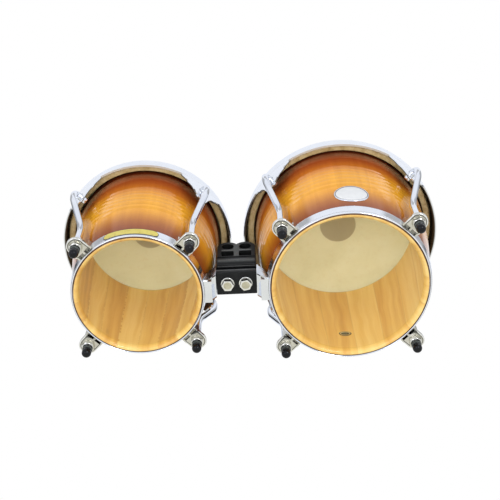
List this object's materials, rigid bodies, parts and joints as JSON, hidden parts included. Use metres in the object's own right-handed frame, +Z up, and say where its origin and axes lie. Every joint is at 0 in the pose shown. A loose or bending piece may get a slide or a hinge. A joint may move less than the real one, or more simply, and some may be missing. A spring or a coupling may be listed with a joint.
{
  "type": "bongo drums",
  "caption": "Tapered wooden hand drums joined by a clamped centre block; each skin is stretched by a rim, hooked rods and nuts.",
  "frame": {"origin": "on the floor plane under the middle of the pair's bounding box, at the feet of the rubber caps", "axes": "+Z up along the drum axes, playing surfaces on top; +X from the small drum to the large drum; -Y is the front with the oval plate"},
  "size_m": [0.4492, 0.232, 0.1835],
  "materials": {
    "shell_wood": "gloss lacquer, amber burst",
    "chrome_steel": "polished",
    "nickel_steel": "satin nickel",
    "hoop_steel": "plain",
    "skin": "natural rawhide",
    "black_rubber": "satin",
    "black_block": "black, satin",
    "white_plate": "white, blank",
    "dark_sticker": "dark, blank",
    "yellow_label": "yellow-green, blank"
  },
  "bodies": {
    "frame": {"small_shell": "shell_wood", "small_bottom_ring": "chrome_steel", "small_ring_ears": "nickel_steel", "small_rod_collars": "chrome_steel", "small_skin": "skin", "small_bracket": "chrome_steel", "large_shell": "shell_wood", "large_bottom_ring": "chrome_steel", "large_ring_ears": "nickel_steel", "large_rod_collars": "chrome_steel", "large_skin": "skin", "large_bracket": "chrome_steel", "block_body": "black_block", "block_base": "black_block", "block_pads": "black_rubber", "block_bolts": "nickel_steel", "block_washers": "nickel_steel", "block_nuts": "nickel_steel", "large_shell_plate": "white_plate", "large_shell_sticker": "dark_sticker", "small_ring_label": "yellow_label"},
    "small_rim_assembly": {"small_rim": "chrome_steel", "small_rim_side_plates": "chrome_steel", "small_skin_edge": "skin", "small_flesh_hoop": "hoop_steel", "small_rod_front_left": "chrome_steel", "small_rod_front_right": "chrome_steel", "small_rod_rear_left": "chrome_steel", "small_rod_rear_right": "chrome_steel", "small_rod_caps": "black_rubber"},
    "small_nut_front_left": {"small_nut_front_left": "nickel_steel"},
    "small_nut_front_right": {"small_nut_front_right": "nickel_steel"},
    "small_nut_rear_left": {"small_nut_rear_left": "nickel_steel"},
    "small_nut_rear_right": {"small_nut_rear_right": "nickel_steel"},
    "large_rim_assembly": {"large_rim": "chrome_steel", "large_rim_side_plates": "chrome_steel", "large_skin_edge": "skin", "large_flesh_hoop": "hoop_steel", "large_rod_front_left": "chrome_steel", "large_rod_front_right": "chrome_steel", "large_rod_rear_left": "chrome_steel", "large_rod_rear_right": "chrome_steel", "large_rod_caps": "black_rubber"},
    "large_nut_front_left": {"large_nut_front_left": "nickel_steel"},
    "large_nut_front_right": {"large_nut_front_right": "nickel_steel"},
    "large_nut_rear_left": {"large_nut_rear_left": "nickel_steel"},
    "large_nut_rear_right": {"large_nut_rear_right": "nickel_steel"}
  },
  "joints": [
    {"name": "small_tuning", "type": "slide", "parent": "frame", "child": "small_rim_assembly", "axis": [0, 0, 1], "range_m": [-0.005, 0.001]},
    {"name": "small_nut_front_left_turn", "type": "hinge", "parent": "frame", "child": "small_nut_front_left", "pos_m": [-0.1845, -0.06102, 0.0173], "axis": [0, 0, 1], "range_deg": [-290, 1442]},
    {"name": "small_nut_front_right_turn", "type": "hinge", "parent": "frame", "child": "small_nut_front_right", "pos_m": [-0.06245, -0.06102, 0.0173], "axis": [0, 0, 1], "range_deg": [-290, 1442]},
    {"name": "small_nut_rear_left_turn", "type": "hinge", "parent": "frame", "child": "small_nut_rear_left", "pos_m": [-0.1845, 0.06102, 0.0173], "axis": [0, 0, 1], "range_deg": [-290, 1442]},
    {"name": "small_nut_rear_right_turn", "type": "hinge", "parent": "frame", "child": "small_nut_rear_right", "pos_m": [-0.06245, 0.06102, 0.0173], "axis": [0, 0, 1], "range_deg": [-290, 1442]},
    {"name": "large_tuning", "type": "slide", "parent": "frame", "child": "large_rim_assembly", "axis": [0, 0, 1], "range_m": [-0.005, 0.001]},
    {"name": "large_nut_front_left_turn", "type": "hinge", "parent": "frame", "child": "large_nut_front_left", "pos_m": [0.03608, -0.07255, 0.0173], "axis": [0, 0, 1], "range_deg": [-290, 1442]},
    {"name": "large_nut_front_right_turn", "type": "hinge", "parent": "frame", "child": "large_nut_front_right", "pos_m": [0.18117, -0.07255, 0.0173], "axis": [0, 0, 1], "range_deg": [-290, 1442]},
    {"name": "large_nut_rear_left_turn", "type": "hinge", "parent": "frame", "child": "large_nut_rear_left", "pos_m": [0.03608, 0.07255, 0.0173], "axis": [0, 0, 1], "range_deg": [-290, 1442]},
    {"name": "large_nut_rear_right_turn", "type": "hinge", "parent": "frame", "child": "large_nut_rear_right", "pos_m": [0.18117, 0.07255, 0.0173], "axis": [0, 0, 1], "range_deg": [-290, 1442]}
  ],
  "couplings": [
    {"joint": "small_nut_front_left_turn", "follows": "small_tuning", "rad_per_m": -5026.5},
    {"joint": "small_nut_front_right_turn", "follows": "small_tuning", "rad_per_m": -5026.5},
    {"joint": "small_nut_rear_left_turn", "follows": "small_tuning", "rad_per_m": -5026.5},
    {"joint": "small_nut_rear_right_turn", "follows": "small_tuning", "rad_per_m": -5026.5},
    {"joint": "large_nut_front_left_turn", "follows": "large_tuning", "rad_per_m": -5026.5},
    {"joint": "large_nut_front_right_turn", "follows": "large_tuning", "rad_per_m": -5026.5},
    {"joint": "large_nut_rear_left_turn", "follows": "large_tuning", "rad_per_m": -5026.5},
    {"joint": "large_nut_rear_right_turn", "follows": "large_tuning", "rad_per_m": -5026.5}
  ]
}
